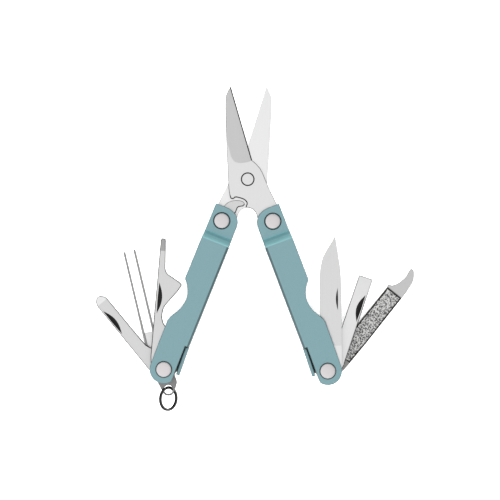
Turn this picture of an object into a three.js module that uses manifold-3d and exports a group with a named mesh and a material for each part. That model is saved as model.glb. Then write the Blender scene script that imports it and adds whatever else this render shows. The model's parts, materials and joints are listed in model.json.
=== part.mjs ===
// Key-chain multi tool with spring scissors, lying open on its side.
// Millimetres. X and Y lie in the plane of the blades, Z is the thickness of the tool.
// The scissors point along +Y, and the handles fan out below them with their tools spread.
import * as THREE from 'three';
import { mergeVertices } from 'three/addons/utils/BufferGeometryUtils.js';
import Module from 'manifold-3d';

const wasm = await Module();
wasm.setup();

// ---------------------------------------------------------------- driving dimensions
const handleSpan = 55.1; // from a handle's top pivot to its bottom pivot
const armPivot = [8.84, 14.56]; // each arm's foot pivot, sideways of and below the scissor pivot
const handleSpread = 20.7; // degrees between a handle and the tool's axis
const sheet = 1.0; // folded handle sheet
const handleHalf = 5.3; // half the handle's thickness over its side plates
const earHalf = 3.0; // half the thickness over the pinched ears
const webSide = 5.83; // from the top pivot to the outside of the web
const webLean = 0.59; // degrees the web closes in on the line of the pivots
const mouthSide = 4.9; // from the bottom pivot to the end of the side plates
const earSide = 5.6; // from the top pivot to the ears' edge on the web's side
const joggle = [5.0, 7.4]; // where the side plates step out from the ears
const springStart = 45; // where the web is slit free and becomes the backspring
const springHalf = 3.6; // half the width of the backspring
const springEnd = 55.3; // the backspring's squared end
const shankRadius = 1.6;
const pivotHole = 1.9; // hole round a rivet's shank
const headRadius = 2.6;
const headTop = 0.5; // a bottom rivet head stands this far out of its side plate
const tangRadius = 4.1; // rounded root of each folding tool
const armFoot = 4.2; // rounded foot of each scissor arm
const scissorRivet = [1.5, 2.05]; // shank and sunk head
const armThickness = 1.25;
const armGap = 0.05; // each arm's face from the middle plane
const ringRadius = 3.85; // key ring, to the middle of its wire
const wireRadius = 0.5;
const ringDrop = 3.25; // the ring's centre below the tab's hole
const ringTilt = 46.5; // degrees the ring is turned out of the tool's plane, about its own upright
const tabHole = [7.4, 1.45]; // distance from the bottom pivot, and radius
const tabEnd = 2.2; // rounded end of the tab, round the hole

// how far each tool stands open from its handle, in degrees
const openKnife = 19.5;
const openDriver = 38.8;
const openFile = 59;
const openOpener = 16.3;
const openTweezers = 34.6;
const openPhillips = 60.6;
const tabTurn = 32.1; // the lanyard tab, from the line of its handle

// the depth of each tool in the stack, rear face and front face
const knifeLevel = [2.7, 4.1];
const driverLevel = [-2.7, -1.45];
const fileLevel = [-4.15, -2.85];
const openerLevel = [2.75, 4.05];
const phillipsLevel = [-2.55, -1.45];
const tweezersLevel = [-4.2, -2.7];
const tabLevel = [-0.5, 0.5];

// the origin sits under the middle of the object's box
const origin = [-2.95, 24.5, 5.85];

// ---------------------------------------------------------------- colours
const paint = { color: 0x87abb0, roughness: 0.5, metalness: 0.25 };
const steel = { color: 0xc9c9c8, roughness: 0.34, metalness: 0.9 };
const ground = { color: 0xd4d4d3, roughness: 0.28, metalness: 0.9 };
const satin = { color: 0xd8d7d5, roughness: 0.42, metalness: 0.85 };
const grit = { color: 0x9c9c9a, roughness: 0.7, metalness: 0.6 };
const dark = { color: 0x6f7172, roughness: 0.45, metalness: 0.85 };
const polished = { color: 0x8d8f91, roughness: 0.16, metalness: 1.0 };

// ---------------------------------------------------------------- shape helpers
const turn = THREE.MathUtils.degToRad;
const point = (x, y) => new THREE.Vector2(x, y);

function line(...pairs) {
  return pairs.map(([x, y]) => point(x, y));
}

function bend(steps, ...pairs) {
  return new THREE.SplineCurve(line(...pairs)).getPoints(steps);
}

function arc(x, y, radius, from, to, steps) {
  const clockwise = to < from;
  const curve = new THREE.EllipseCurve(x, y, radius, radius, turn(from), turn(to), clockwise);
  return curve.getPoints(steps);
}

function mirrored(points) {
  return points.map((p) => point(-p.x, p.y));
}

function circlePath(x, y, radius, steps) {
  return new THREE.Path(arc(x, y, radius, 0, 360, steps));
}

// a flat piece with the outline given, between two heights
function plate(points, [low, high], holes = []) {
  const shape = new THREE.Shape(points);
  for (const [x, y, radius] of holes) {
    shape.holes.push(circlePath(x, y, radius, 28));
  }
  const geometry = new THREE.ExtrudeGeometry(shape, { depth: high - low, bevelEnabled: false });
  return geometry.translate(0, 0, low);
}

// a section drawn across the piece, in X and Z, run along Y
function bar(section, from, to) {
  const shape = new THREE.Shape(section);
  const geometry = new THREE.ExtrudeGeometry(shape, { depth: to - from, bevelEnabled: false });
  return geometry.translate(0, 0, -to).rotateX(Math.PI / 2);
}

// a side view drawn in Y and Z, run along X
function sweepAcross(side, from, to) {
  const shape = new THREE.Shape(side);
  const geometry = new THREE.ExtrudeGeometry(shape, { depth: to - from, bevelEnabled: false });
  const axes = new THREE.Matrix4().makeBasis(
    new THREE.Vector3(0, 1, 0),
    new THREE.Vector3(0, 0, 1),
    new THREE.Vector3(1, 0, 0),
  );
  return geometry.translate(0, 0, from).applyMatrix4(axes);
}

// a profile of radius and height turned about Z
function turned(profile, steps) {
  return new THREE.LatheGeometry(line(...profile), steps).rotateX(Math.PI / 2);
}

function washer(inner, outer, [low, high]) {
  const section = [[inner, low], [outer, low], [outer, high], [inner, high], [inner, low]];
  return turned(section, 30);
}

function solid(geometry) {
  const bare = new THREE.BufferGeometry();
  const flat = geometry.index ? geometry.toNonIndexed() : geometry;
  bare.setAttribute('position', flat.getAttribute('position').clone());
  const merged = mergeVertices(bare, 1e-4);
  const mesh = new wasm.Mesh({
    numProp: 3,
    vertProperties: merged.getAttribute('position').array,
    triVerts: new Uint32Array(merged.index.array),
  });
  return new wasm.Manifold(mesh);
}

function surface(shape) {
  const mesh = shape.getMesh();
  const geometry = new THREE.BufferGeometry();
  geometry.setAttribute('position', new THREE.BufferAttribute(mesh.vertProperties, 3));
  geometry.setIndex(new THREE.BufferAttribute(mesh.triVerts, 1));
  const flat = geometry.toNonIndexed();
  flat.computeVertexNormals();
  return flat;
}

function cutAway(body, ...tools) {
  return surface(tools.reduce((left, tool) => left.subtract(solid(tool)), solid(body)));
}

const group = new THREE.Group();

function add(name, geometry, look, parent) {
  const mesh = new THREE.Mesh(geometry, new THREE.MeshStandardMaterial(look));
  mesh.name = name;
  parent.add(mesh);
  return mesh;
}

// ---------------------------------------------------------------- where things turn
const left = new THREE.Group(); // left handle: +Y runs down the handle, +X to its open mouth
left.position.set(-armPivot[0], -armPivot[1], 0);
left.rotation.z = turn(180 - handleSpread);
const right = new THREE.Group(); // right handle: +Y runs down the handle, +X to its web
right.position.set(armPivot[0], -armPivot[1], 0);
right.rotation.z = turn(180 + handleSpread);
group.add(left, right);

// a folding tool's group: +Y runs along the tool, turned out of its handle by the angle given
function toolGroup(handle, angle) {
  const holder = new THREE.Group();
  holder.position.set(0, handleSpan, 0);
  holder.rotation.z = turn(180 + angle);
  handle.add(holder);
  return holder;
}

// ---------------------------------------------------------------- scissors
// Both arms share one outline; the front one also has the notch the spring sits in.
const blade = [
  ...line([11.9, -11.6], [10.4, -8.9], [9.5, -7.2], [8.45, -5.1], [7.4, -3.0], [6.35, -0.6]),
  ...line([5.3, 1.9], [4.3, 3.8], [2.9, 5.3], [1.5, 6.55], [-6.1, 31.95]),
  ...bend(6, [-6.6, 31.5], [-7.2, 30.5], [-7.9, 28.8], [-8.05, 25.9]),
  ...line([-7.9, 20.6], [-7.65, 15.4], [-7.45, 10.2], [-7.1, 5.0], [-6.85, -0.2], [-6.5, -3.7]),
];
const crotch = bend(8, [-0.6, -9.85], [0.8, -9.95], [2.2, -10.7], [3.05, -11.9], [3.6, -13.6]);
const foot = arc(armPivot[0], -armPivot[1], armFoot, 198, 380, 22);
const notch = [
  ...line([-6.15, -6.0]),
  ...bend(8, [-5.85, -6.8], [-4.95, -6.9], [-4.1, -6.35], [-2.7, -6.6]),
  ...bend(7, [-2.2, -6.75], [-1.2, -7.15], [-0.45, -7.85], [-0.25, -8.5], [-0.5, -9.3]),
];
const heel = bend(6, [-6.0, -6.4], [-4.3, -8.5], [-2.2, -9.6]);
const armFaces = [armGap, armGap + armThickness];
const sinkDepth = 0.5;

// the bevel along the cutting edge of an arm, cut from its outer face
function bladeGrind() {
  const outer = armFaces[1];
  const slope = line([0.6, outer + 0.1], [-8.3, outer + 0.1], [-7.6, outer], [0.6, outer - 0.7]);
  const wedge = bar(slope, -3, 30);
  wedge.rotateZ(turn(16.7)).translate(1.5, 6.55, 0);
  const region = [
    ...line([4, 6.2], [4, 40], [-12, 40], [-12, 14.5], [-7.6, 13.7]),
    ...bend(8, [-6.5, 10.2], [-5.8, 7.8], [-4.6, 6.1], [-2.7, 5.65], [-0.6, 5.85], [1.2, 6.4]),
  ];
  const above = plate(region, [outer - 1, outer + 1]);
  return surface(solid(wedge).intersect(solid(above)));
}

function scissorArm(inner) {
  const outline = [...foot, ...blade, ...inner, ...crotch];
  const holes = [
    [0, 0, scissorRivet[0] + 0.25],
    [armPivot[0], -armPivot[1], pivotHole],
  ];
  const sink = turned(
    [
      [0, armFaces[1] - sinkDepth],
      [scissorRivet[1] + 0.25, armFaces[1] - sinkDepth],
      [scissorRivet[1] + 0.25, armFaces[1] + 1],
      [0, armFaces[1] + 1],
    ],
    32,
  );
  return cutAway(plate(outline, armFaces, holes), sink, bladeGrind());
}

add('front_scissor_arm', scissorArm(notch), steel, group);
const rearArm = add('rear_scissor_arm', scissorArm(heel), ground, group);
rearArm.rotation.y = Math.PI;

const rivetFace = armFaces[1];
const rivetSeat = armFaces[1] - sinkDepth + 0.05;
add(
  'scissor_rivet',
  turned(
    [
      [0, -rivetFace],
      [scissorRivet[1] - 0.1, -rivetFace],
      [scissorRivet[1], -rivetFace + 0.1],
      [scissorRivet[1], -rivetSeat],
      [scissorRivet[0], -rivetSeat],
      [scissorRivet[0], rivetSeat],
      [scissorRivet[1], rivetSeat],
      [scissorRivet[1], rivetFace - 0.1],
      [scissorRivet[1] - 0.1, rivetFace],
      [0, rivetFace],
    ],
    32,
  ),
  satin,
  group,
);

// flat spring round the left foot pivot, its tip in the front arm's notch
const springOutline = [
  ...arc(-armPivot[0], -armPivot[1], 3.8, 120, 384, 28),
  ...line([-4.6, -12.4]),
  ...bend(8, [-3.95, -11.4], [-3.4, -9.95], [-2.7, -9.6], [-1.5, -9.4]),
  ...bend(8, [-0.95, -8.8], [-1.35, -7.95], [-2.7, -7.45], [-4.1, -7.4], [-5.5, -7.6]),
  ...line([-6.85, -8.15], [-8.05, -9.3], [-9.4, -10.5]),
];
add(
  'scissors_spring',
  plate(springOutline, [0.1, 1.2], [[-armPivot[0], -armPivot[1], pivotHole]]),
  steel,
  group,
);

// ---------------------------------------------------------------- handles
// Outlines are drawn with +X to the open mouth and +Y down the handle.
const slant = 0.35; // how far the joggle's inner face lags its outer one
const webStart = joggle[1] + slant;
const platesOutline = [
  ...line([4.1, -5.0], [4.25, 4], [4.45, 9], [4.6, 22.9]),
  ...bend(12, [4.45, 23.4], [3.4, 24.7], [2.4, 26.5], [1.75, 28.6], [1.65, 30.2], [1.95, 32.1]),
  ...bend(8, [2.25, 33.1], [2.75, 34.2], [3.65, 35.8], [4.55, 37.3], [5.0, 38.8]),
  ...line([5.0, 48]),
  ...arc(0, handleSpan, mouthSide, 0, 143, 18),
  ...line([-3.9, springStart], [-7, springStart], [-7, 2]),
  ...bend(10, [-5.7, 1.0], [-5.55, -0.4], [-5.1, -2.0], [-3.7, -3.75], [-1.6, -4.7], [0.2, -4.95]),
];

function channel(side) {
  const shaped = (points) => (side > 0 ? points : mirrored(points));
  const fold = 1.1; // outer bend radius
  const inner = handleHalf - sheet;
  const section = [
    ...line([6, handleHalf]),
    ...arc(-webSide + fold, handleHalf - fold, fold, 90, 180, 5),
    ...arc(-webSide + fold, fold - handleHalf, fold, 180, 270, 5),
    ...line([6, -handleHalf], [6, -inner], [sheet - webSide, -inner]),
    ...line([sheet - webSide, inner], [6, inner]),
  ];
  const trough = solid(bar(shaped(section), webStart, 61).rotateZ(-side * turn(webLean)));
  const ears = [1, -1].map((face) => {
    const view = line(
      [-6, face * (earHalf - sheet)],
      [-6, face * earHalf],
      [joggle[0], face * earHalf],
      [joggle[1], face * handleHalf],
      [webStart + 0.1, face * handleHalf],
      [webStart + 0.1, face * inner],
      [webStart, face * inner],
      [joggle[0] + slant, face * (earHalf - sheet)],
    );
    return solid(side > 0 ? sweepAcross(view, -earSide, 7) : sweepAcross(view, -7, earSide));
  });
  const outline = solid(plate(shaped(platesOutline), [-6, 6]));
  const tongue = plate(
    shaped(
      line(
        [-4.6, springStart - 0.6],
        [-5.1, springStart - 0.6],
        [-5.4, springStart + 0.1],
        [-5.7, springEnd],
        [-4.55, springEnd],
        [-4.3, springStart + 0.1],
      ),
    ),
    [-springHalf, springHalf],
  );
  const bores = [0, handleSpan].map((y) => {
    return solid(plate(arc(0, y, pivotHole, 0, 360, 32).slice(1), [-7, 7]));
  });
  let body = trough.add(ears[0]).add(ears[1]).intersect(outline).add(solid(tongue));
  for (const bore of bores) {
    body = body.subtract(bore);
  }
  return surface(body);
}

add('left_handle_channel', channel(1), paint, left);
add('right_handle_channel', channel(-1), paint, right);

// ---------------------------------------------------------------- handle rivets and spacers
function rivet(seat, top) {
  const rim = 0.12;
  return turned(
    [
      [0, -top],
      [headRadius - rim, -top],
      [headRadius, rim - top],
      [headRadius, -seat],
      [shankRadius, -seat],
      [shankRadius, seat],
      [headRadius, seat],
      [headRadius, top - rim],
      [headRadius - rim, top],
      [0, top],
    ],
    32,
  );
}

const seatGap = 0.05;
for (const [name, handle] of [['left', left], ['right', right]]) {
  add(`${name}_top_rivet`, rivet(earHalf + seatGap, earHalf + seatGap + headTop), satin, handle);
  const bottom = rivet(handleHalf + seatGap, handleHalf + seatGap + headTop);
  add(`${name}_bottom_rivet`, bottom, satin, handle).position.y = handleSpan;
  add(`${name}_front_washer`, washer(pivotHole, 3.3, [1.4, 1.9]), dark, handle);
  add(`${name}_rear_washer`, washer(pivotHole, 3.3, [-1.9, -1.4]), dark, handle);
}
add('right_top_spacer', washer(pivotHole, 3.5, [-1.3, -0.05]), dark, right);

function stackSpacer(name, handle, levels) {
  add(name, washer(pivotHole, 3.6, levels), dark, handle).position.y = handleSpan;
}

stackSpacer('right_stack_spacer', right, [-1.35, 2.6]);
stackSpacer('left_front_stack_spacer', left, [0.6, 2.65]);
stackSpacer('left_rear_stack_spacer', left, [-1.35, -0.6]);

// ---------------------------------------------------------------- folding tools
// Outlines are drawn with +X to the tool's outer edge and +Y along it, from its pivot.
const tang = arc(0, 0, tangRadius, 180, 360, 18);
const bore = [[0, 0, pivotHole]];

// a nail nick cut into the front face: straight on its outer side, bulging inwards
function nick(from, to, outer, depth, face) {
  const middle = (from + to) / 2;
  const quarter = (to - from) / 4;
  const crescent = [
    ...bend(
      8,
      [outer, to],
      [outer - 0.72 * depth, middle + quarter],
      [outer - depth, middle],
      [outer - 0.72 * depth, middle - quarter],
      [outer, from],
    ),
    ...line([outer + 0.1, middle]),
  ];
  return (side) => plate(side > 0 ? crescent : mirrored(crescent), [face - 0.4, face + 0.2]);
}

// thins the end of a driver from both faces
function tipGrind([low, high], from, to, depth) {
  return [
    sweepAcross(line([from, high + 0.01], [to, high - depth], [to, high + 0.01]), -8, 8),
    sweepAcross(line([from, low - 0.01], [to, low - 0.01], [to, low + depth]), -8, 8),
  ];
}

const knifeOutline = [
  ...tang,
  ...line([4.75, 1.6], [5.05, 3.5], [5.05, 28.5]),
  ...bend(10, [5.0, 31.5], [4.68, 36], [4.23, 39.1], [3.8, 41.9], [3.15, 46]),
  ...bend(14, [2.0, 44.35], [0.5, 42.4], [-0.65, 40.4], [-1.5, 38.4], [-2.2, 34.8], [-2.4, 31]),
  ...line([-2.45, 9.4], [-3.0, 8.3], [-3.9, 6.3], [-tangRadius, 3]),
];
const knifeGrind = (face, direction) => {
  const away = face + 0.01 * direction;
  const deep = face - 0.75 * direction;
  return bar(line([5.1, away], [-4.6, away], [-4.6, deep]), 8.7, 48);
};
const knifeNick = nick(20.9, 28.6, 3.75, 0.55, knifeLevel[1]);
const knife = toolGroup(right, -openKnife);
add(
  'knife_blade',
  cutAway(
    plate(knifeOutline, knifeLevel, bore),
    knifeGrind(knifeLevel[1], 1),
    knifeGrind(knifeLevel[0], -1),
    knifeNick(1),
  ),
  steel,
  knife,
);

const driverOutline = [
  ...tang,
  ...line([4.8, 1.6], [5.05, 3.5], [5.05, 34.9], [0.1, 34.9], [0.1, 14]),
  ...bend(6, [-0.6, 11], [-2.6, 8], [-4.1, 5.4], [-tangRadius, 3]),
];
const driver = toolGroup(right, -openDriver);
add(
  'flat_screwdriver',
  cutAway(
    plate(driverOutline, driverLevel, bore),
    nick(19.4, 28.7, 4.35, 1.5, driverLevel[1])(1),
    ...tipGrind(driverLevel, 27, 35.2, 0.3),
  ),
  steel,
  driver,
);

const fileOutline = [
  ...tang,
  ...line([4.5, 1.4], [4.85, 6], [4.95, 16], [4.75, 35.9]),
  ...bend(14, [4.75, 37.1], [4.35, 41.8], [3.6, 43.9], [2.7, 45.3], [1.6, 46.1], [0.8, 45.95]),
  ...bend(12, [0.85, 44.7], [1.18, 42.7], [0.97, 40.75], [0.38, 38.7], [-0.63, 37.2], [-1.6, 36.9]),
  ...line([-1.9, 36.5], [-1.65, 35.6], [-1.65, 18]),
  ...bend(8, [-2.0, 13], [-3.3, 8.4], [-4.2, 5.2], [-tangRadius, 3]),
];
const filePanel = line([4.45, 9], [4.65, 16], [4.5, 35.6], [-1.35, 35.6], [-1.35, 18], [-1.6, 14]);
const file = toolGroup(right, -openFile);
add(
  'nail_file',
  cutAway(
    plate(fileOutline, fileLevel, bore),
    plate([...filePanel, point(-2.4, 9)], [fileLevel[1] - 0.12, fileLevel[1] + 0.2]),
  ),
  grit,
  file,
);

const openerOutline = mirrored([
  ...tang,
  ...line([4.75, 1.8], [5.0, 4], [5.0, 44.4], [4.65, 45.1], [3.5, 45.1], [3.2, 44.7]),
  ...line([2.9, 40.7], [2.6, 36]),
  ...bend(6, [2.5, 34.8], [2.15, 33.7], [1.4, 32.85]),
  ...line([-2.7, 30.5]),
  ...bend(6, [-3.3, 30.0], [-3.55, 29.45], [-3.25, 28.75]),
  ...bend(14, [-2.4, 27.25], [0.1, 23.9], [1.5, 21.9], [2.1, 20.2], [2.2, 17.75], [1.5, 15.7]),
  ...bend(8, [0.6, 14.6], [-1.2, 12.3], [-3.2, 8.6], [-tangRadius, 4]),
]);
const opener = toolGroup(left, openOpener);
const openerNick = nick(19.5, 29.3, 4.1, 1.25, openerLevel[1]);
add(
  'bottle_opener',
  cutAway(
    plate(openerOutline, openerLevel, bore),
    openerNick(-1),
    tipGrind(openerLevel, 40.6, 45.3, 0.35)[0],
  ),
  steel,
  opener,
);

const tweezersOutline = mirrored([
  ...tang,
  ...line([4.5, 1.5], [4.8, 4], [4.8, 13.4], [0.6, 13.4], [0.55, 11.5]),
  ...bend(6, [-0.8, 9.8], [-3.2, 7.2], [-4.2, 5.2], [-tangRadius, 3]),
]);
const tweezerArm = (from, start) => {
  const strip = line(
    [from, tweezersLevel[0]],
    [from + 0.6, tweezersLevel[0]],
    [from + 0.6, tweezersLevel[1]],
    [from, tweezersLevel[1]],
  );
  return solid(bar(mirrored(strip), start, 42.7));
};
const tweezersBase = solid(plate(tweezersOutline, [tweezersLevel[0], -3.4], bore));
const tweezers = toolGroup(left, openTweezers);
add(
  'tweezers',
  surface(tweezersBase.add(tweezerArm(4.2, 7)).add(tweezerArm(0.57, 11.2))),
  steel,
  tweezers,
);

const phillipsOutline = mirrored([
  ...tang,
  ...line([4.5, 1.6], [4.6, 4], [4.55, 31.6]),
  ...bend(12, [4.0, 33.1], [3.0, 33.9], [2.0, 34.05], [0.95, 33.3], [0.3, 32.3], [0.1, 31.4]),
  ...line([0.05, 13]),
  ...bend(8, [-0.05, 10.4], [-0.9, 8.35], [-2.9, 6.3], [-4.2, 4.4], [-tangRadius, 2]),
]);
const phillips = toolGroup(left, openPhillips);
add(
  'phillips_driver',
  cutAway(
    plate(phillipsOutline, phillipsLevel, bore),
    nick(19, 28.6, 3.9, 1.3, phillipsLevel[1])(-1),
    ...tipGrind(phillipsLevel, 31.4, 34.2, 0.25),
  ),
  steel,
  phillips,
);

// ---------------------------------------------------------------- lanyard tab and key ring
const tabOutline = [
  ...arc(0, 0, tangRadius, 176, 368, 20),
  ...line([3.3, 4.0]),
  ...arc(0, tabHole[0], tabEnd, 10, 165, 14),
  ...bend(10, [-2.75, 6.9], [-3.35, 5.5], [-3.3, 4.2], [-3.05, 2.9], [-3.6, 1.7]),
];
const tab = new THREE.Group();
tab.position.y = handleSpan;
tab.rotation.z = turn(tabTurn);
left.add(tab);
const tabHoles = [[0, tabHole[0], tabHole[1]], [0, 0, pivotHole]];
add('lanyard_tab', plate(tabOutline, tabLevel, tabHoles), steel, tab);

// the ring hangs below the hole whatever way the tab points
const hole = new THREE.Vector3(0, tabHole[0], 0);
group.updateMatrixWorld(true);
tab.localToWorld(hole);
const ring = add(
  'key_ring',
  new THREE.TorusGeometry(ringRadius, wireRadius, 8, 40),
  polished,
  group,
);
ring.position.set(hole.x, hole.y - ringDrop, 0);
ring.rotation.y = turn(ringTilt);

// ---------------------------------------------------------------- place on the table
group.position.set(...origin);
const multiTool = new THREE.Group();
multiTool.add(group);

export default multiTool;
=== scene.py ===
import json
import math
import random

import bmesh
import bpy
from mathutils import Matrix, Vector


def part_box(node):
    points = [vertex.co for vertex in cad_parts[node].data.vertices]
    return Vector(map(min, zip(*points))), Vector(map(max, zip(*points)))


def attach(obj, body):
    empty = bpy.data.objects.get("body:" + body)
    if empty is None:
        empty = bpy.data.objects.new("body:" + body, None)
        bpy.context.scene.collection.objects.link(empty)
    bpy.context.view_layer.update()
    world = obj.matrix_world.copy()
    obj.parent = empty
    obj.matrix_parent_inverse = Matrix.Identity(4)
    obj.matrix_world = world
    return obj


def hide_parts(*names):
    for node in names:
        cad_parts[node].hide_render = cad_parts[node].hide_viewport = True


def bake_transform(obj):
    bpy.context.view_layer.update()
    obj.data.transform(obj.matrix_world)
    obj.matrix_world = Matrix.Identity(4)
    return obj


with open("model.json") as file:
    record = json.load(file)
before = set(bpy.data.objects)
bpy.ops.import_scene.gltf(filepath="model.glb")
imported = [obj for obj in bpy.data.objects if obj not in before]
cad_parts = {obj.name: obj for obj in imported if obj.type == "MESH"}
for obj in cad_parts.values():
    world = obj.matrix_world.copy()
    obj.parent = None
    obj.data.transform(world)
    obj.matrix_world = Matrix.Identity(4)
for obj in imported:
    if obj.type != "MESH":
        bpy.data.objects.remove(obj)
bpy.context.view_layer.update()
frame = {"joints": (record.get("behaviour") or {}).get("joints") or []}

scene = bpy.context.scene
MM = 0.001
random.seed(11)

# ---------------------------------------------------------------- driving dimensions, in millimetres
SHEET = 1.0
HANDLE_HALF = 5.3
EAR_HALF = 3.0
WEB_SIDE = 5.83
WEB_LEAN = 0.59
EAR_SIDE = 5.6
MOUTH_SIDE = 4.9
JOGGLE = (5.0, 7.4)
SLANT = 0.35
WEB_START = JOGGLE[1] + SLANT
SPRING_START = 45.0
SPRING_HALF = 3.6
SPRING_END = 55.3
FOLD = 1.1
BORE = 1.9
HEAD = 2.6
HEAD_TOP = 0.5
SINK = 3.05
TANG = 4.1
ARM_FOOT = 4.2
ARM_FACES = (0.05, 1.3)
SCISSOR_HEAD = 2.05
TAB_HOLE = (7.4, 1.45)
TAB_END = 2.2
TAB_TURN = 32.1
RING_RADIUS = 3.85
WIRE = 0.5
RING_TILT = 46.5
KNIFE_LEVEL = (2.7, 4.1)
DRIVER_LEVEL = (-2.7, -1.45)
FILE_LEVEL = (-4.15, -2.85)
OPENER_LEVEL = (2.75, 4.05)
PHILLIPS_LEVEL = (-2.55, -1.45)
TWEEZERS_LEVEL = (-4.2, -2.7)
TAB_LEVEL = (-0.5, 0.5)

CRISP = math.radians(32)  # edges sharper than this are rounded
SMOOTH = math.radians(40)  # faces that meet at less than this are shaded as one
FLAT = 0.9995  # a face this level is shaded flat


# ---------------------------------------------------------------- places, from the frame
def centre(node):
    low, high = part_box(node)
    return (low + high) / (2 * MM)


scissor_place = Matrix.Translation(centre("scissor_rivet"))
LEFT_FOOT = centre("left_top_rivet") - centre("scissor_rivet")
RIGHT_FOOT = centre("right_top_rivet") - centre("scissor_rivet")
SPAN = (centre("left_bottom_rivet") - centre("left_top_rivet")).length
stowed = {joint["child"]: joint["range_deg"][1] for joint in frame["joints"]}


def turn_z(degrees):
    return Matrix.Rotation(math.radians(degrees), 4, "Z")


def handle_place(side):
    top = centre(f"{side}_top_rivet")
    along = centre(f"{side}_bottom_rivet") - top
    return Matrix.Translation(top) @ Matrix.Rotation(math.atan2(-along.x, along.y), 4, "Z")


left_place = handle_place("left")
right_place = handle_place("right")
to_bottom = Matrix.Translation((0, SPAN, 0))


def tool_place(handle, angle):
    return handle @ to_bottom @ turn_z(180 + angle)


# ---------------------------------------------------------------- outlines
def line(*points):
    return [(float(x), float(y)) for x, y in points]


def bend(*points, steps=5):
    """A smooth curve through the points."""
    found = []
    last = len(points) - 1
    for i in range(last):
        around = [points[max(i - 1, 0)], points[i], points[i + 1], points[min(i + 2, last)]]
        for k in range(steps):
            t = k / steps
            spot = []
            for p0, p1, p2, p3 in zip(*around):
                v0, v1 = (p2 - p0) / 2, (p3 - p1) / 2
                cubic = (2 * p1 - 2 * p2 + v0 + v1) * t**3
                spot.append(cubic + (-3 * p1 + 3 * p2 - 2 * v0 - v1) * t**2 + v0 * t + p1)
            found.append(tuple(spot))
    found.append(tuple(map(float, points[-1])))
    return found


def arc(x, y, radius, start, end, steps):
    angles = [math.radians(start + (end - start) * k / steps) for k in range(steps + 1)]
    return [(x + radius * math.cos(a), y + radius * math.sin(a)) for a in angles]


def mirrored(points):
    return [(-x, y) for x, y in points]


# ---------------------------------------------------------------- solids, built in millimetres
def clean_outline(points):
    kept = []
    for x, y in points:
        if not kept or math.hypot(x - kept[-1][0], y - kept[-1][1]) > 0.02:
            kept.append((x, y))
    if math.hypot(kept[0][0] - kept[-1][0], kept[0][1] - kept[-1][1]) < 0.02:
        kept.pop()
    return kept


def shape_object(shape, look):
    bmesh.ops.recalc_face_normals(shape, faces=shape.faces)
    mesh = bpy.data.meshes.new("shape")
    shape.to_mesh(mesh)
    shape.free()
    mesh.materials.append(look)
    made = bpy.data.objects.new("shape", mesh)
    scene.collection.objects.link(made)
    return made


def extruded(outline, low, high, look, spin=None):
    """A flat solid with the outline given, from one height to another, then turned by spin."""
    shape = bmesh.new()
    ring = [shape.verts.new((x, y, low)) for x, y in clean_outline(outline)]
    face = shape.faces.new(ring)
    grown = bmesh.ops.extrude_face_region(shape, geom=[face])
    top = [part for part in grown["geom"] if isinstance(part, bmesh.types.BMVert)]
    bmesh.ops.translate(shape, verts=top, vec=(0, 0, high - low))
    if spin:
        shape.transform(spin)
    return shape_object(shape, look)


# a section in X and Z run along Y, and a side view in Y and Z run along X
RUN_ALONG = Matrix(((1, 0, 0, 0), (0, 0, 1, 0), (0, 1, 0, 0), (0, 0, 0, 1)))
RUN_ACROSS = Matrix(((0, 0, 1, 0), (1, 0, 0, 0), (0, 1, 0, 0), (0, 0, 0, 1)))


def run_along(section, start, end, look, spin=None):
    return extruded(section, start, end, look, spin @ RUN_ALONG if spin else RUN_ALONG)


def run_across(side, start, end, look):
    return extruded(side, start, end, look, RUN_ACROSS)


def turned(profile, look, steps=72, at=(0, 0)):
    """A closed profile of radius and height, turned about Z."""
    shape = bmesh.new()
    rings = []
    for k in range(steps):
        a = 2 * math.pi * k / steps
        c, s = math.cos(a), math.sin(a)
        rings.append([shape.verts.new((r * c + at[0], r * s + at[1], z)) for r, z in profile])
    for k in range(steps):
        here, there = rings[k], rings[(k + 1) % steps]
        for i in range(len(profile)):
            j = (i + 1) % len(profile)
            shape.faces.new((here[i], there[i], there[j], here[j]))
    bmesh.ops.remove_doubles(shape, verts=shape.verts, dist=1e-4)
    bmesh.ops.dissolve_degenerate(shape, edges=shape.edges, dist=1e-4)
    return shape_object(shape, look)


def bake(made):
    """Replaces the object's mesh by what its modifiers make of it."""
    graph = bpy.context.evaluated_depsgraph_get()
    mesh = bpy.data.meshes.new_from_object(made.evaluated_get(graph))
    made.modifiers.clear()
    made.data = mesh
    return made


def combined(base, operation, *others):
    for other in others:
        step = base.modifiers.new("step", "BOOLEAN")
        step.operation = operation
        step.solver = "EXACT"
        step.material_mode = "TRANSFER"
        step.object = other
        bake(base)
        bpy.data.objects.remove(other)
    return base


def cut(base, *others):
    return combined(base, "DIFFERENCE", *others)


def bore(x, y, radius, look, low=-8, high=8):
    return extruded(arc(x, y, radius, 0, 360, 64)[:-1], low, high, look)


def slot_index(mesh, look):
    for i, held in enumerate(mesh.materials):
        if held == look:
            return i
    mesh.materials.append(look)
    return len(mesh.materials) - 1


def mark_edges(mesh, share):
    """Weighs the crisp edges along a piece's own walls for rounding; share says how much, if given."""
    shape = bmesh.new()
    shape.from_mesh(mesh)
    weight = shape.edges.layers.float.new("bevel_weight_edge")
    for edge in shape.edges:
        faces = edge.link_faces
        if len(faces) != 2 or faces[0].normal.angle(faces[1].normal, 0) < CRISP:
            continue
        a, b = (v.co for v in edge.verts)
        upright = abs(a.z - b.z) > 0.9 * (a - b).length
        walls = [f for f in faces if abs(f.normal.z) < 0.5]
        own = any(mesh.materials[f.material_index] not in ground_looks for f in walls)
        nicked = any(mesh.materials[f.material_index] == nick_painted_shade_steel for f in faces)
        if upright or not own:
            continue
        if nicked:
            edge[weight] = 0.4
        else:
            edge[weight] = share((a + b) / 2) if share else 1.0
    shape.to_mesh(mesh)
    shape.free()


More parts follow.
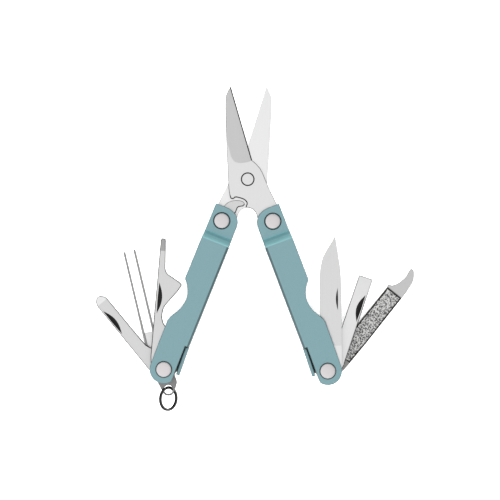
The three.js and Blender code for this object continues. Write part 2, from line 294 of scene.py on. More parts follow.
def set_down(made, name, place):
    """Takes a piece from millimetres to metres, names it and puts it in its place."""
    made.data.transform(Matrix.Scale(MM, 4))
    made.name = name
    made.data.name = name
    world = place.copy()
    world.translation = place.translation * MM
    made.matrix_world = world


def finish_piece(made, name, place, body, nodes, bevel=0.08, edge=None, share=None):
    """Rounds the edges, sets the piece down and lets it ride its body."""
    if bevel:
        mark_edges(made.data, share)
        step = made.modifiers.new("edges", "BEVEL")
        step.width = bevel
        step.segments = 3
        step.limit_method = "WEIGHT"
        step.use_clamp_overlap = False
        # the rounded edges take the edge look given, a painted shade for dark outlines
        if edge:
            step.material = slot_index(made.data, edge)
        bake(made)
    set_down(made, name, place)
    for polygon in made.data.polygons:
        polygon.use_smooth = abs(polygon.normal.z) < FLAT
    made.data.set_sharp_from_angle(angle=SMOOTH)
    weigh = made.modifiers.new("normals", "WEIGHTED_NORMAL")
    weigh.keep_sharp = True
    weigh.weight = 90
    if body:
        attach(made, body)
    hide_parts(*nodes)
    return made


# ---------------------------------------------------------------- looks
def new_material(name):
    look = bpy.data.materials.new(name)
    look.use_nodes = True
    nodes = look.node_tree.nodes
    return look, nodes, look.node_tree.links, nodes["Principled BSDF"]


def grain(nodes, links, stretch, scale, detail=3.0):
    """Noise in the piece's own coordinates, stretched along the axes given."""
    where = nodes.new("ShaderNodeTexCoord")
    fit = nodes.new("ShaderNodeMapping")
    fit.inputs["Scale"].default_value = stretch
    noise = nodes.new("ShaderNodeTexNoise")
    noise.inputs["Scale"].default_value = scale
    noise.inputs["Detail"].default_value = detail
    links.new(where.outputs["Object"], fit.inputs["Vector"])
    links.new(fit.outputs["Vector"], noise.inputs["Vector"])
    return noise


def ramp_between(nodes, links, source, dark, light, low=0.3, high=0.7):
    ramp = nodes.new("ShaderNodeValToRGB")
    ramp.color_ramp.elements[0].position = low
    ramp.color_ramp.elements[0].color = (*dark, 1)
    ramp.color_ramp.elements[1].position = high
    ramp.color_ramp.elements[1].color = (*light, 1)
    links.new(source, ramp.inputs["Fac"])
    return ramp


def spread_to(nodes, links, source, low, high):
    fit = nodes.new("ShaderNodeMapRange")
    fit.inputs["From Min"].default_value = 0.3
    fit.inputs["From Max"].default_value = 0.7
    fit.inputs["To Min"].default_value = low
    fit.inputs["To Max"].default_value = high
    links.new(source, fit.inputs["Value"])
    return fit


def relief(nodes, links, source, shader, strength, distance):
    bump = nodes.new("ShaderNodeBump")
    bump.inputs["Strength"].default_value = strength
    bump.inputs["Distance"].default_value = distance
    links.new(source, bump.inputs["Height"])
    links.new(bump.outputs["Normal"], shader.inputs["Normal"])


def steel(name, tone, rough=0.3, vary=0.006, brush=(3400.0, 60.0, 3400.0), tint=(1, 1, 1)):
    """Satin steel with brush marks along the piece."""
    look, nodes, links, shader = new_material(name)
    shader.inputs["Metallic"].default_value = 1.0
    marks = grain(nodes, links, brush, 1.0)
    dark = [(tone - vary) * c for c in tint]
    light = [(tone + vary) * c for c in tint]
    ramp = ramp_between(nodes, links, marks.outputs["Fac"], dark, light)
    links.new(ramp.outputs["Color"], shader.inputs["Base Color"])
    fit = spread_to(nodes, links, marks.outputs["Fac"], rough - 0.02, rough + 0.02)
    links.new(fit.outputs["Result"], shader.inputs["Roughness"])
    relief(nodes, links, marks.outputs["Fac"], shader, 0.02, 0.00002)
    return look


def coat(name, colour, rough=0.42, vary=0.05):
    """Satin coloured coat with a faint, even texture."""
    look, nodes, links, shader = new_material(name)
    shader.inputs["Metallic"].default_value = 0.1
    texture = grain(nodes, links, (1, 1, 1), 3800.0, 2.0)
    dark = [c * (1 - vary) for c in colour]
    light = [c * (1 + vary) for c in colour]
    ramp = ramp_between(nodes, links, texture.outputs["Fac"], dark, light)
    links.new(ramp.outputs["Color"], shader.inputs["Base Color"])
    fit = spread_to(nodes, links, texture.outputs["Fac"], rough - 0.05, rough + 0.05)
    links.new(fit.outputs["Result"], shader.inputs["Roughness"])
    relief(nodes, links, texture.outputs["Fac"], shader, 0.08, 0.00002)
    return look


def speckled(name, dark, light, size):
    """Bonded grit: dark and bright grains side by side, each one tone."""
    look, nodes, links, shader = new_material(name)
    shader.inputs["Metallic"].default_value = 0.6
    shader.inputs["Roughness"].default_value = 0.55
    where = nodes.new("ShaderNodeTexCoord")
    cells = nodes.new("ShaderNodeTexVoronoi")
    cells.inputs["Scale"].default_value = 1 / size
    links.new(where.outputs["Object"], cells.inputs["Vector"])
    pick = nodes.new("ShaderNodeSeparateColor")
    links.new(cells.outputs["Color"], pick.inputs["Color"])
    ramp = ramp_between(nodes, links, pick.outputs["Red"], dark, light, 0.25, 0.7)
    links.new(ramp.outputs["Color"], shader.inputs["Base Color"])
    relief(nodes, links, cells.outputs["Distance"], shader, 0.2, 0.00005)
    return look


TEAL = (0.0735, 0.141, 0.154)


def shaded(red, green, blue):
    """The handles' colour with each channel made lighter or darker, for painted light and shade."""
    return [c * factor for c, factor in zip(TEAL, (red, green, blue))]


paint = coat("handle_paint", TEAL)
# painted light and shade: the joggle's slope, rise and crest take darker and lighter copies of the
# teal
painted_light_slope = coat("handle_painted_light_slope", shaded(0.85, 1.08, 1.1))
painted_light_rise = coat("handle_painted_light_rise", shaded(1.12, 1.32, 1.3))
painted_light_crest = coat("handle_painted_light_crest", shaded(1.25, 1.45, 1.4))
# painted shade: a dark copy of the teal for the rounded fold along the web
painted_shade_fold = coat("handle_painted_shade_fold", shaded(0.4, 0.4, 0.4))
# painted shade: a dark copy of the teal for the handles' rounded edges and bore walls
painted_shade_edge = coat("handle_painted_shade_edge", shaded(0.42, 0.42, 0.42))
# painted shade: the darkest teal, for the rings round the rivet heads and the sheet behind the spring
# slot
painted_shade_sink = coat("handle_painted_shade_sink", shaded(0.34, 0.34, 0.34))
arm_steel = steel("arm_steel", 0.46)
blade_steel = steel("scissor_blade_steel", 0.515, vary=0.004)
grind_steel = steel("scissor_grind_steel", 0.4, rough=0.36, brush=(2200, 60, 2200))
knife_steel = steel("knife_steel", 0.465)
knife_ground = steel("knife_ground_steel", 0.405, brush=(2200, 60, 2200))
tool_steel = steel("tool_steel", 0.4)
driver_steel = steel("driver_steel", 0.475)
# painted light: lighter and darker copies of tool steel for ground tips, a painted highlight on the
# cross driver tip and painted shade on the opener tip
tip_painted_highlight = steel("tip_painted_highlight_steel", 0.5)
chamfer_steel = steel("chamfer_steel", 0.31)
tip_painted_shade = steel("tip_painted_shade_steel", 0.243)
# painted shade: near-black steel on rounded edges, cutting edges and hole walls, drawing dark outlines
painted_shade_edge_steel = steel("painted_shade_edge_steel", 0.025, rough=0.6)
# painted shade: dark steel for softer edge outlines on the rear arm, knife and tweezers
soft_edge_painted_shade = steel("soft_edge_painted_shade_steel", 0.19, rough=0.4)
# painted shade: near-black steel for nail nicks, the pivot ring and the file panel's walls
nick_painted_shade_steel = steel("nick_painted_shade_steel", 0.018, rough=0.5)
file_steel = steel("file_root_steel", 0.183, rough=0.42, tint=(1, 0.99, 0.96))
file_tip_steel = steel("file_tip_steel", 0.345)
grit = speckled("file_grit", (0.045, 0.045, 0.045), (0.36, 0.36, 0.355), 0.00034)
rivet_steel = steel("rivet_steel", 0.46, rough=0.45, brush=(900, 900, 900), tint=(1, 0.955, 0.965))
pivot_steel = steel("pivot_steel", 0.49, rough=0.4, brush=(900, 900, 900))
spacer_steel = steel("spacer_steel", 0.38, rough=0.4, brush=(800, 800, 800))
tweezer_steel = steel("tweezer_steel", 0.2, rough=0.34)
tab_steel = steel("tab_steel", 0.152, rough=0.34)
# painted light: dark steel on the ring's crown as a painted highlight, and darker steel on its sides
# as painted shade
ring_steel = steel("ring_steel", 0.07, rough=0.08, brush=(500, 500, 500))
ring_painted_shade_steel = steel("ring_side_steel", 0.02, rough=0.12, brush=(500, 500, 500))
ground_looks = (grind_steel, knife_ground, tip_painted_highlight, chamfer_steel, tip_painted_shade, file_tip_steel)

# ---------------------------------------------------------------- scissors
blade = [
    *line((11.9, -11.6), (10.4, -8.9), (9.5, -7.2), (8.45, -5.1), (7.4, -3.0), (6.35, -0.6)),
    *line((5.3, 1.9), (4.3, 3.8), (2.9, 5.3), (1.5, 6.55), (-6.15, 32.3)),
    *bend((-6.6, 31.75), (-7.2, 30.6), (-7.9, 28.8), (-8.05, 25.9)),
    *line((-7.9, 20.6), (-7.65, 15.4), (-7.45, 10.2), (-7.1, 5.0), (-6.85, -0.2), (-6.5, -3.7)),
]
crotch = bend((-0.6, -9.85), (0.8, -9.95), (2.2, -10.7), (3.05, -11.9), (3.6, -13.6))
foot = arc(RIGHT_FOOT.x, RIGHT_FOOT.y, ARM_FOOT, 198, 380, 40)
notch = [
    *line((-6.15, -6.0)),
    *bend((-5.85, -6.8), (-4.95, -6.9), (-4.1, -6.35), (-2.7, -6.6)),
    *bend((-2.2, -6.75), (-1.2, -7.15), (-0.45, -7.85), (-0.25, -8.5), (-0.5, -9.3)),
]
heel = bend((-6.0, -6.4), (-4.3, -8.5), (-2.2, -9.6))
along_edge = Matrix.Translation((1.5, 6.55, 0)) @ turn_z(16.7)
grind_region = [
    *line((4, 6.2), (4, 40), (-12, 40), (-12, 14.5), (-7.6, 13.7)),
    *bend((-6.5, 10.2), (-5.8, 7.8), (-4.6, 6.1), (-2.7, 5.65), (-0.6, 5.85), (1.2, 6.4)),
]


def scissor_arm(inner, face_look, grind_look):
    low, high = ARM_FACES
    body = extruded([*foot, *blade, *inner, *crotch], low, high, face_look)
    slope = line((0.6, high + 0.1), (-8.3, high + 0.1), (-7.6, high), (0.6, high - 0.7))
    wedge = run_along(slope, -3, 30, grind_look, along_edge)
    region = extruded(grind_region, high - 1, high + 1, grind_look)
    wedge = combined(wedge, "INTERSECT", region)
    # the cutting edge carries a strip of painted shade
    keen = line((-0.22, high - 0.66), (0.34, low + 0.05), (0.9, low + 0.05), (0.9, high))
    keen_edge = run_along([*keen, (-0.22, high)], 0.2, 30, painted_shade_edge_steel, along_edge)
    # a sunk ring of painted shade round the pivot head
    sink = bore(0, 0, SCISSOR_HEAD + 0.2, nick_painted_shade_steel, high - 0.5, high + 1)
    pivot = bore(0, 0, SCISSOR_HEAD - 0.3, nick_painted_shade_steel)
    foot_hole = bore(RIGHT_FOOT.x, RIGHT_FOOT.y, BORE, painted_shade_edge_steel)
    return cut(body, wedge, keen_edge, sink, pivot, foot_hole)


def notch_share(spot):
    """The notch has a broad chamfer, and the rest of the arm a narrow one; each chamfer carries
    painted shade.
    """
    return 1.0 if -6.6 < spot.x < 0.2 and -9.7 < spot.y < -5.8 else 0.48


# the front arm's rounded edges carry painted shade, broadest along the notch
finish_piece(
    scissor_arm(notch, arm_steel, grind_steel),
    "scissor_arm_front",
    scissor_place,
    "front_arm",
    ["front_scissor_arm"],
    bevel=0.34,
    edge=painted_shade_edge_steel,
    share=notch_share,
)
finish_piece(
    scissor_arm(heel, blade_steel, grind_steel),
    "scissor_arm_rear",
    scissor_place @ Matrix.Rotation(math.pi, 4, "Y"),
    "rear_arm",
    ["rear_scissor_arm"],
    bevel=0.11,
    edge=soft_edge_painted_shade,
)

face = ARM_FACES[1]
seat = face - 0.42
head = SCISSOR_HEAD
scissor_rivet_profile = [
    *line((0, -face), (head - 0.12, -face), (head, 0.12 - face), (head, -seat), (1.5, -seat)),
    *line((1.5, seat), (head, seat), (head, face - 0.12), (head - 0.12, face), (0, face)),
]
finish_piece(
    turned(scissor_rivet_profile, pivot_steel),
    "scissor_pivot_rivet",
    scissor_place,
    "rear_arm",
    ["scissor_rivet"],
    bevel=0,
)

spring_outline = [
    *arc(LEFT_FOOT.x, LEFT_FOOT.y, 3.8, 120, 384, 60),
    *line((-4.6, -12.4)),
    *bend((-3.95, -11.4), (-3.4, -9.95), (-2.7, -9.6), (-1.5, -9.4)),
    *bend((-0.95, -8.8), (-1.35, -7.95), (-2.7, -7.45), (-4.1, -7.4), (-5.5, -7.6)),
    *line((-6.85, -8.15), (-8.05, -9.3), (-9.4, -10.5)),
]
spring = cut(
    extruded(spring_outline, 0.1, 1.2, tool_steel),
    bore(LEFT_FOOT.x, LEFT_FOOT.y, BORE, painted_shade_edge_steel),
)
spring = finish_piece(
    spring,
    "scissor_leaf_spring",
    scissor_place,
    None,
    ["scissors_spring"],
    bevel=0.3,
    edge=painted_shade_edge_steel,
    # the spring's tip gets a broad rounded edge of painted shade
    share=lambda spot: 1.0 if spot.x > -4.3 and spot.y < -9.1 else 0.45,
)
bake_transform(spring)

# ---------------------------------------------------------------- handles
plates_outline = [
    *line((4.1, -5.0), (4.25, 4), (4.45, 9), (4.6, 22.9)),
    *bend((4.45, 23.4), (3.4, 24.7), (2.4, 26.5), (1.75, 28.6), (1.65, 30.2), (1.95, 32.1)),
    *bend((2.25, 33.1), (2.75, 34.2), (3.65, 35.8), (4.55, 37.3), (5.0, 38.8)),
    *line((5.0, 48)),
    *arc(0, SPAN, MOUTH_SIDE, 0, 143, 40),
    *line((-3.9, SPRING_START), (-7, SPRING_START), (-7, 2)),
    *bend((-5.7, 1.0), (-5.55, -0.4), (-5.1, -2.0), (-3.7, -3.75), (-1.6, -4.7), (0.2, -4.95)),
]


def shade_sides(mesh, side):
    """Paints shade on the fold, and painted light and shade on the bends of the joggle."""
    plain, fold = slot_index(mesh, paint), slot_index(mesh, painted_shade_fold)
    # the joggle's bends get painted light and shade, banded by height along the handle
    bends = [
        (JOGGLE[0] + 1.1, slot_index(mesh, painted_light_slope)),
        (JOGGLE[0] + 1.6, slot_index(mesh, painted_light_rise)),
        (WEB_START + 0.2, slot_index(mesh, painted_light_crest)),
    ]
    for polygon in mesh.polygons:
        normal, spot = polygon.normal, polygon.center
        if polygon.material_index != plain:
            continue
        # the fold's rounding takes painted shade
        if -side * normal.x > 0.3 and -side * spot.x > 4.4:
            polygon.material_index = fold
        elif abs(normal.y) > 0.12 and abs(normal.z) > 0.3 and spot.y < WEB_START + 0.2:
            polygon.material_index = next(look for limit, look in bends if spot.y < limit)


def handle_channel(side):
    def fit(points):
        return points if side > 0 else mirrored(points)

    inner = HANDLE_HALF - SHEET
    section = [
        *line((6, HANDLE_HALF)),
        *arc(FOLD - WEB_SIDE, HANDLE_HALF - FOLD, FOLD, 90, 180, 12),
        *arc(FOLD - WEB_SIDE, FOLD - HANDLE_HALF, FOLD, 180, 270, 12),
        *line((6, -HANDLE_HALF), (6, -inner), (SHEET - WEB_SIDE, -inner)),
        *line((SHEET - WEB_SIDE, inner), (6, inner)),
    ]
    body = run_along(fit(section), WEB_START, 61, paint, turn_z(-side * WEB_LEAN))
    ears = []
    for way in (1, -1):
        view = [
            (-6, way * (EAR_HALF - SHEET)),
            (-6, way * EAR_HALF),
            *bend(
                (JOGGLE[0] - 0.5, way * EAR_HALF),
                (JOGGLE[0] + 0.25, way * (EAR_HALF + 0.12)),
                (JOGGLE[1] - 0.3, way * (HANDLE_HALF - 0.14)),
                (JOGGLE[1] + 0.34, way * HANDLE_HALF),
            ),
            (WEB_START + 0.1, way * HANDLE_HALF),
            (WEB_START + 0.1, way * inner),
            (WEB_START, way * inner),
            (JOGGLE[0] + SLANT, way * (EAR_HALF - SHEET)),
        ]
        start, end = (-EAR_SIDE, 7) if side > 0 else (-7, EAR_SIDE)
        ears.append(run_across(view, start, end, paint))
    body = combined(body, "UNION", *ears)
    body = combined(body, "INTERSECT", extruded(fit(plates_outline), -6, 6, paint))
    tongue = line(
        (-4.6, SPRING_START - 0.6),
        (-5.1, SPRING_START - 0.6),
        (-5.4, SPRING_START + 0.1),
        (-5.7, SPRING_END),
        (-4.55, SPRING_END),
        (-4.3, SPRING_START + 0.1),
    )
    body = combined(body, "UNION", extruded(fit(tongue), -SPRING_HALF, SPRING_HALF, paint))
    # a sheet of painted shade closes the rear plate behind the spring slot, so the slot reads dark
    start, end = SPRING_START - 0.1, SPRING_END - 0.3
    slot_painted_shade_sheet = line((-4.6, start), (-3.8, start), (-3.8, end), (-4.6, end))
    body = combined(body, "UNION", extruded(fit(slot_painted_shade_sheet), -HANDLE_HALF + 0.05, -inner, painted_shade_sink))
    # the rivet bores take painted shade on their walls, and each rivet head gets a sunk ring of
    # painted shade
    sinks = [bore(0, y, BORE, painted_shade_edge) for y in (0, SPAN)]
    for y, half, wide in ((0, EAR_HALF, SINK), (SPAN, HANDLE_HALF, SINK - 0.26)):
        for way in (1, -1):
            rim = [
                (0, way * (half - 0.42)),
                (HEAD + 0.08, way * (half - 0.42)),
                (wide, way * (half + 0.02)),
                (0, way * (half + 0.02)),
            ]
            sinks.append(turned(rim, painted_shade_sink, at=(0, y)))
    return cut(body, *sinks)


def handle_share(spot):
    """Square where the web begins, and rounded everywhere else."""
    return 0.0 if abs(spot.y - WEB_START) < 0.3 and abs(spot.x) > 4.4 else 1.0


for side, sign, place in (("left", 1, left_place), ("right", -1, right_place)):
    channel = handle_channel(sign)
    shade_sides(channel.data, sign)
    # the handles' rounded edges take painted shade, which draws their dark outlines
    finish_piece(
        channel,
        f"{side}_handle_sheet",
        place,
        f"{side}_handle",
        [f"{side}_handle_channel"],
        bevel=0.15,
        edge=painted_shade_edge,
        share=handle_share,
    )

# ---------------------------------------------------------------- rivets, washers and spacers


def rivet(half):
    """A shank with a low domed head at each end."""
    top = half + 0.05 + HEAD_TOP
    under = half - 0.36
    dome = [(HEAD, under), (HEAD, top - 0.3), (HEAD - 0.05, top - 0.2), (HEAD - 0.16, top - 0.12)]
    dome += [(HEAD - 0.4, top - 0.07), (1.6, top - 0.02), (0.8, top - 0.004), (0, top)]
    lower = [(radius, -height) for radius, height in reversed(dome)]
    return turned([*lower, (1.6, -under), (1.6, under), *dome], rivet_steel)


def washer(inner, outer, low, high):
    e = 0.08
    profile = [(inner, low), (outer - e, low), (outer, low + e)]
    profile += [(outer, high - e), (outer - e, high), (inner, high)]
    return turned(profile, spacer_steel)


def hub(shape, name, place, side, node):
    finish_piece(shape, name, place, f"{side}_handle", [node], bevel=0)


for side, place in (("left", left_place), ("right", right_place)):
    hub(rivet(EAR_HALF), f"{side}_ear_rivet", place, side, f"{side}_top_rivet")
    bottom = place @ to_bottom
    name = f"{side}_tool_rivet"
    hub(rivet(HANDLE_HALF), name, bottom, side, f"{side}_bottom_rivet")
    for way, levels in (("front", (1.4, 1.9)), ("rear", (-1.9, -1.4))):
        node = f"{side}_{way}_washer"
        hub(washer(BORE, 3.3, *levels), f"{node}_disc", place, side, node)

spacers = (
    ("right_top_spacer", "right", right_place, 3.5, (-1.3, -0.05)),
    ("right_stack_spacer", "right", right_place @ to_bottom, 3.6, (-1.35, 2.6)),
    ("left_front_stack_spacer", "left", left_place @ to_bottom, 3.6, (0.6, 2.65)),
    ("left_rear_stack_spacer", "left", left_place @ to_bottom, 3.6, (-1.35, -0.6)),
)
for node, side, place, outer, levels in spacers:
    hub(washer(BORE, outer, *levels), f"{node}_ring", place, side, node)

# ---------------------------------------------------------------- folding tools
tang = arc(0, 0, TANG, 180, 360, 40)


def tool_blank(outline, level, look):
    return cut(extruded(outline, *level, look), bore(0, 0, BORE, painted_shade_edge_steel))


def nick(start, end, outer, depth, top, side):
    """A nail nick: a crescent sunk in the front face, with walls of painted shade."""
    middle = (start + end) / 2
    quarter = (end - start) / 4
    crescent = [
        *bend(
            (outer, end),
            (outer - 0.72 * depth, middle + quarter),
            (outer - depth, middle),
            (outer - 0.72 * depth, middle - quarter),
            (outer, start),
        ),
        (outer + 0.1, middle),
    ]
    if side < 0:
        crescent = mirrored(crescent)
    return extruded(crescent, top - 0.4, top + 0.2, nick_painted_shade_steel)


def tip_grind(level, start, end, depth, look):
    low, high = level
    front = line((start, high + 0.01), (end, high - depth), (end, high + 0.01))
    rear = line((start, low - 0.01), (end, low - 0.01), (end, low + depth))
    return [run_across(front, -8, 8, look), run_across(rear, -8, 8, look)]


def side_chamfer(top, outer, start, end, side):
    """A flat ground along a tool's outer edge."""
    slope = line((outer + 0.3, top - 0.32), (outer - 0.4, top + 0.01), (outer + 0.3, top + 0.01))
    return run_along(slope if side > 0 else mirrored(slope), start, end, chamfer_steel)


def tool_piece(shape, name, place, body, node, bevel=0.08, edge=None):
    # tools' rounded edges default to painted shade in near-black steel
    rim = edge or painted_shade_edge_steel
    return finish_piece(shape, name, place, body, [node], bevel=bevel, edge=rim)


knife_outline = [
    *tang,
    *line((4.75, 1.6), (5.05, 3.5), (5.05, 28.5)),
    *bend((5.0, 31.5), (4.68, 36), (4.23, 39.1), (3.8, 42.3), (3.1, 46.8)),
    *bend((2.0, 44.75), (0.5, 42.4), (-0.65, 40.4), (-1.5, 38.4), (-2.2, 34.8), (-2.4, 31)),
    *line((-2.45, 9.4), (-3.0, 8.3), (-3.9, 6.3), (-TANG, 3)),
]


def knife_grind(face, direction):
    away = face + 0.01 * direction
    deep = face - 0.75 * direction
    return run_along(line((5.1, away), (-4.6, away), (-4.6, deep)), 8.7, 48, knife_ground)


knife_place = tool_place(right_place, -stowed["knife"])
tool_piece(
    cut(
        tool_blank(knife_outline, KNIFE_LEVEL, knife_steel),
        knife_grind(KNIFE_LEVEL[1], 1),
        knife_grind(KNIFE_LEVEL[0], -1),
        nick(20.9, 28.6, 3.75, 0.62, KNIFE_LEVEL[1] - 0.05, 1),
    ),
    "knife_blade_ground",
    knife_place,
    "knife",
    "knife_blade",
    bevel=0.05,
    edge=soft_edge_painted_shade,
)

driver_outline = [
    *tang,
    *line((4.8, 1.6), (5.05, 3.5), (5.05, 34.9), (0.1, 34.9), (0.1, 14)),
    *bend((-0.6, 11), (-2.6, 8), (-4.1, 5.4), (-TANG, 3)),
]
tool_piece(
    cut(
        tool_blank(driver_outline, DRIVER_LEVEL, driver_steel),
        side_chamfer(DRIVER_LEVEL[1], 5.05, 4, 29, 1),
        nick(19.4, 28.7, 4.35, 1.5, DRIVER_LEVEL[1], 1),
        *tip_grind(DRIVER_LEVEL, 27, 35.2, 0.3, driver_steel),
    ),
    "flat_driver_blade",
    tool_place(right_place, -stowed["flat_driver"]),
    "flat_driver",
    "flat_screwdriver",
    bevel=0.2,
)

PANEL_DEPTH = 0.13
file_outline = [
    *tang,
    *line((4.5, 1.4), (4.85, 6), (4.95, 16), (4.75, 35.9)),
    *bend((4.75, 37.1), (4.35, 41.8), (3.6, 43.9), (2.7, 45.3), (1.6, 46.1), (0.8, 45.95)),
    *bend((0.85, 44.7), (1.18, 42.7), (0.97, 40.75), (0.38, 38.7), (-0.63, 37.2), (-1.6, 36.9)),
    *line((-1.9, 36.5), (-1.65, 35.6), (-1.65, 18)),
    *bend((-2.0, 13), (-3.3, 8.4), (-4.2, 5.2), (-TANG, 3)),
]
file_panel = line(
    (4.55, 6.8), (4.75, 16), (4.55, 35.7), (-1.45, 35.7), (-1.45, 18), (-1.7, 14), (-3.2, 6.8)
)
grit_area = line(
    (4.35, 7), (4.5, 16), (4.3, 35.4), (-1.2, 35.4), (-1.2, 18), (-1.45, 14), (-3.0, 7)
)
file_place = tool_place(right_place, -stowed["file"])
tip_region = line((-3, 35.95), (6, 35.95), (6, 48), (-3, 48))
# the file panel's walls take painted shade for a dark border
file_body = cut(
    tool_blank(file_outline, FILE_LEVEL, file_steel),
    extruded(file_panel, FILE_LEVEL[1] - PANEL_DEPTH, FILE_LEVEL[1] + 0.2, nick_painted_shade_steel),
    extruded(tip_region, FILE_LEVEL[1] - 0.04, FILE_LEVEL[1] + 0.2, file_tip_steel),
    extruded(tip_region, FILE_LEVEL[0] - 0.2, FILE_LEVEL[0] + 0.04, file_tip_steel),
)
tool_piece(file_body, "nail_file_blade", file_place, "file", "nail_file", bevel=0.08)


def inside(x, y, outline):
    """Whether a point lies inside a closed outline."""
    found = False
    for (ax, ay), (bx, by) in zip(outline, [*outline[1:], outline[0]]):
        if (ay > y) != (by > y) and x < (bx - ax) * (y - ay) / (by - ay) + ax:
            found = not found
    return found


def grit_sheet(outline, bottom, height, step, look):
    """A crust of small grains standing in the file's panel."""
    shape = bmesh.new()
    left, right = min(x for x, y in outline), max(x for x, y in outline)
    near, far = min(y for x, y in outline), max(y for x, y in outline)
    spots = {}
    for i in range(int((right - left) / step) + 1):
        for j in range(int((far - near) / step) + 1):
            x = left + i * step + random.uniform(-0.3, 0.3) * step
            y = near + j * step + random.uniform(-0.3, 0.3) * step
            if inside(x, y, outline):
                top = bottom + height * random.random()
                spots[i, j] = shape.verts.new((x, y, top))
    for i, j in spots:
        corners = [spots.get(key) for key in ((i, j), (i + 1, j), (i + 1, j + 1), (i, j + 1))]
        if all(corners):
            shape.faces.new(corners)
    bmesh.ops.triangulate(shape, faces=shape.faces)
    made = shape_object(shape, look)
    for polygon in made.data.polygons:
        if polygon.normal.z < 0:
            polygon.flip()
    return made


grains = grit_sheet(grit_area, FILE_LEVEL[1] - PANEL_DEPTH + 0.01, 0.1, 0.2, grit)
set_down(grains, "nail_file_grit", file_place)
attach(grains, "file")

opener_outline = mirrored(
    [
        *tang,
        *line((4.75, 1.8), (5.0, 4), (5.0, 44.4), (4.65, 45.1), (3.5, 45.1), (3.2, 44.7)),
        *line((2.9, 40.7), (2.6, 36)),
        *bend((2.5, 34.8), (2.15, 33.7), (1.4, 32.85)),
        *line((-2.7, 30.5)),
        *bend((-3.3, 30.0), (-3.55, 29.45), (-3.25, 28.75)),
        *bend((-2.4, 27.25), (0.1, 23.9), (1.5, 21.9), (2.1, 20.2), (2.2, 17.75), (1.5, 15.7)),
        *bend((0.6, 14.6), (-1.2, 12.3), (-3.2, 8.6), (-TANG, 4)),
    ]
)
tool_piece(
    cut(
        tool_blank(opener_outline, OPENER_LEVEL, tool_steel),
        nick(19.5, 29.3, 4.1, 1.25, OPENER_LEVEL[1], -1),
        # the opener's ground tip takes painted shade
        *tip_grind(OPENER_LEVEL, 40.6, 45.3, 0.35, tip_painted_shade),
    ),
    "bottle_opener_blade",
    tool_place(left_place, stowed["opener"]),
    "opener",
    "bottle_opener",
    bevel=0.25,
)

tweezers_outline = mirrored(
    [
        *tang,
        *line((4.5, 1.5), (4.8, 4), (4.8, 13.4), (0.6, 13.4), (0.55, 11.5)),
        *bend((-0.8, 9.8), (-3.2, 7.2), (-4.2, 5.2), (-TANG, 3)),
    ]
)


def tweezer_arm(start, root):
    low, high = TWEEZERS_LEVEL
    near, far = start - 0.08, start + 0.68
    strip = line((near, low), (far, low), (far, high), (near, high))
    return run_along(mirrored(strip), root, 42.7, tweezer_steel)


tweezers_base = tool_blank(tweezers_outline, (TWEEZERS_LEVEL[0], -3.4), knife_steel)
tool_piece(
    combined(tweezers_base, "UNION", tweezer_arm(4.2, 7), tweezer_arm(0.57, 11.2)),
    "tweezers_spring_arms",
    tool_place(left_place, stowed["tweezer_set"]),
    "tweezer_set",
    "tweezers",
    bevel=0.06,
    edge=soft_edge_painted_shade,
)

phillips_outline = mirrored(
    [
        *tang,
        *line((4.5, 1.6), (4.6, 4), (4.55, 31.6)),
        *bend((4.0, 33.1), (3.0, 33.9), (2.0, 34.05), (0.95, 33.3), (0.3, 32.3), (0.1, 31.4)),
        *line((0.05, 13)),
        *bend((-0.05, 10.4), (-0.9, 8.35), (-2.9, 6.3), (-4.2, 4.4), (-TANG, 2)),
    ]
)
tool_piece(
    cut(
        tool_blank(phillips_outline, PHILLIPS_LEVEL, tool_steel),
        nick(19, 28.6, 3.9, 1.3, PHILLIPS_LEVEL[1], -1),
        # the cross driver's ground tip takes a painted highlight
        *tip_grind(PHILLIPS_LEVEL, 31.4, 34.2, 0.25, tip_painted_highlight),
    ),
    "phillips_driver_blade",
    tool_place(left_place, stowed["cross_driver"]),
    "cross_driver",
    "phillips_driver",
    bevel=0.24,
)

# ---------------------------------------------------------------- lanyard tab and key ring
tab_outline = [
    *arc(0, 0, TANG, 176, 368, 40),
    *line((3.3, 4.0)),
    *arc(0, TAB_HOLE[0], TAB_END, 10, 165, 30),
    *bend((-2.75, 6.9), (-3.35, 5.5), (-3.3, 4.2), (-3.05, 2.9), (-3.6, 1.7)),
]
tab_shape = cut(
    tool_blank(tab_outline, TAB_LEVEL, tab_steel),
    bore(0, TAB_HOLE[0], TAB_HOLE[1] + 0.1, painted_shade_edge_steel),
)
tab_place = left_place @ to_bottom @ turn_z(TAB_TURN)
tool_piece(tab_shape, "lanyard_tab_plate", tab_place, "tab", "lanyard_tab", bevel=0.12)


def split_ring(radius, wire, look, painted_shade_look):
    """Two turns of flattened wire that lie against each other, with open ends."""
    shape = bmesh.new()
    around, across, turns = 64, 16, 1.97
    half_width, half_height, pitch = 0.96 * wire, 0.47 * wire, 0.988 * wire
    steps = int(around * turns)
    hoops = []
    for k in range(steps + 1):
        a = math.radians(118) + 2 * math.pi * turns * k / steps
        climb = min(max((k / around - 0.9) / 0.16, 0), 1)
        lift = (climb * climb * (3 - 2 * climb) - 0.5) * pitch
        hoop = []
        for m in range(across):
            b = 2 * math.pi * m / across
            r = radius + half_width * math.cos(b)
            z = lift + half_height * math.sin(b)
            hoop.append(shape.verts.new((r * math.cos(a), r * math.sin(a), z)))
        hoops.append(hoop)
    for here, there in zip(hoops, hoops[1:]):
        for m in range(across):
            n = (m + 1) % across
            band = shape.faces.new((here[m], here[n], there[n], there[m]))
            # faces turned radially out or in take painted shade, the rest a painted highlight
            facing_out = abs(math.cos(2 * math.pi * (m + 0.5) / across))
            band.material_index = 1 if facing_out > 0.6 else 0
    shape.faces.new(hoops[0])
    shape.faces.new(hoops[-1])
    made = shape_object(shape, look)
    made.data.materials.append(painted_shade_look)
    return made


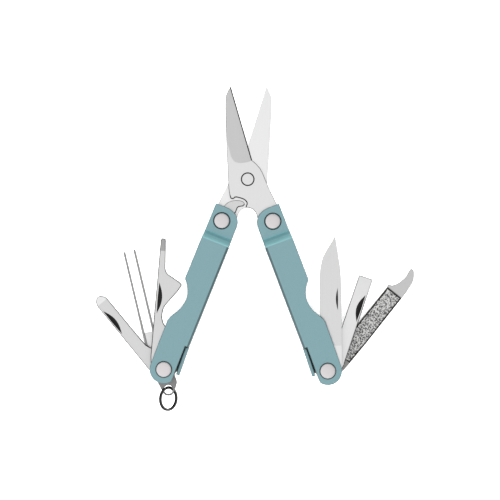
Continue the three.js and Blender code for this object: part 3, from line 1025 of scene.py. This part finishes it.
ring_place = Matrix.Translation(centre("key_ring")) @ Matrix.Rotation(
    math.radians(RING_TILT), 4, "Y"
)
finish_piece(
    split_ring(RING_RADIUS, WIRE, ring_steel, ring_painted_shade_steel),
    "split_key_ring",
    ring_place,
    "ring",
    ["key_ring"],
    bevel=0,
)

# ---------------------------------------------------------------- floor, light and camera
FLOOR_HALF = 2.5
FLOOR_GLOW = 0.45
SKY_STRENGTH = 1.9
SKY_AIM = (-0.3, -0.36, 0.88)
SKY_DIM = 0.36
LAMP_ENERGY = 1.45
LAMP_SPREAD = 60.0
LAMP_TILT = 45.0
WIDTH_SEEN = 174.0
VIEW_MIDDLE = (-1.91, -0.09)
VIEW_TURN = 0.56
LENS = 135.0
SENSOR = 36.0

floor_mesh = bpy.data.meshes.new("floor")
sheet_shape = bmesh.new()
bmesh.ops.create_grid(sheet_shape, x_segments=4, y_segments=4, size=FLOOR_HALF)
sheet_shape.to_mesh(floor_mesh)
sheet_shape.free()
floor = bpy.data.objects.new("floor", floor_mesh)
scene.collection.objects.link(floor)
floor_look, *_, floor_shader = new_material("floor_white")
floor_shader.inputs["Base Color"].default_value = (0.97, 0.97, 0.97, 1)
floor_shader.inputs["Roughness"].default_value = 0.9
floor_shader.inputs["Specular IOR Level"].default_value = 0.1
floor_shader.inputs["Emission Color"].default_value = (1, 1, 1, 1)
floor_shader.inputs["Emission Strength"].default_value = FLOOR_GLOW
floor_mesh.materials.append(floor_look)

# a soft studio: brightest above and a little to the lower left, dimmer towards the far side
world = bpy.data.worlds.new("studio")
scene.world = world
world.use_nodes = True
world_nodes, world_links = world.node_tree.nodes, world.node_tree.links
background = world_nodes["Background"]
background.inputs["Strength"].default_value = SKY_STRENGTH
direction = world_nodes.new("ShaderNodeTexCoord")
facing = world_nodes.new("ShaderNodeVectorMath")
facing.operation = "DOT_PRODUCT"
facing.inputs[1].default_value = Vector(SKY_AIM).normalized()
tone = world_nodes.new("ShaderNodeValToRGB")
tone.color_ramp.elements[0].position = 0.3
tone.color_ramp.elements[0].color = (SKY_DIM, SKY_DIM, SKY_DIM, 1)
tone.color_ramp.elements[1].position = 0.97
tone.color_ramp.elements[1].color = (1, 1, 1, 1)
world_links.new(direction.outputs["Generated"], facing.inputs[0])
world_links.new(facing.outputs["Value"], tone.inputs["Fac"])
world_links.new(tone.outputs["Color"], background.inputs["Color"])

# four very soft lamps from the corners, which do not show in the steel
for quarter in range(4):
    lamp = bpy.data.lights.new(f"soft_side_{quarter}", "SUN")
    lamp.energy = LAMP_ENERGY
    lamp.angle = math.radians(LAMP_SPREAD)
    holder = bpy.data.objects.new(lamp.name, lamp)
    holder.rotation_euler = (math.radians(LAMP_TILT), 0, math.radians(45 + 90 * quarter))
    holder.visible_glossy = False
    scene.collection.objects.link(holder)

camera_data = bpy.data.cameras.new("camera")
camera_data.lens = LENS
camera_data.sensor_width = SENSOR
camera_data.clip_start = 0.01
camera = bpy.data.objects.new("camera", camera_data)
middle = centre("scissor_rivet").z
distance = WIDTH_SEEN * LENS / SENSOR
camera.location = Vector((*VIEW_MIDDLE, middle + distance)) * MM
camera.rotation_euler = (0, 0, math.radians(VIEW_TURN))
scene.collection.objects.link(camera)
scene.camera = camera
scene.view_settings.view_transform = "Standard"
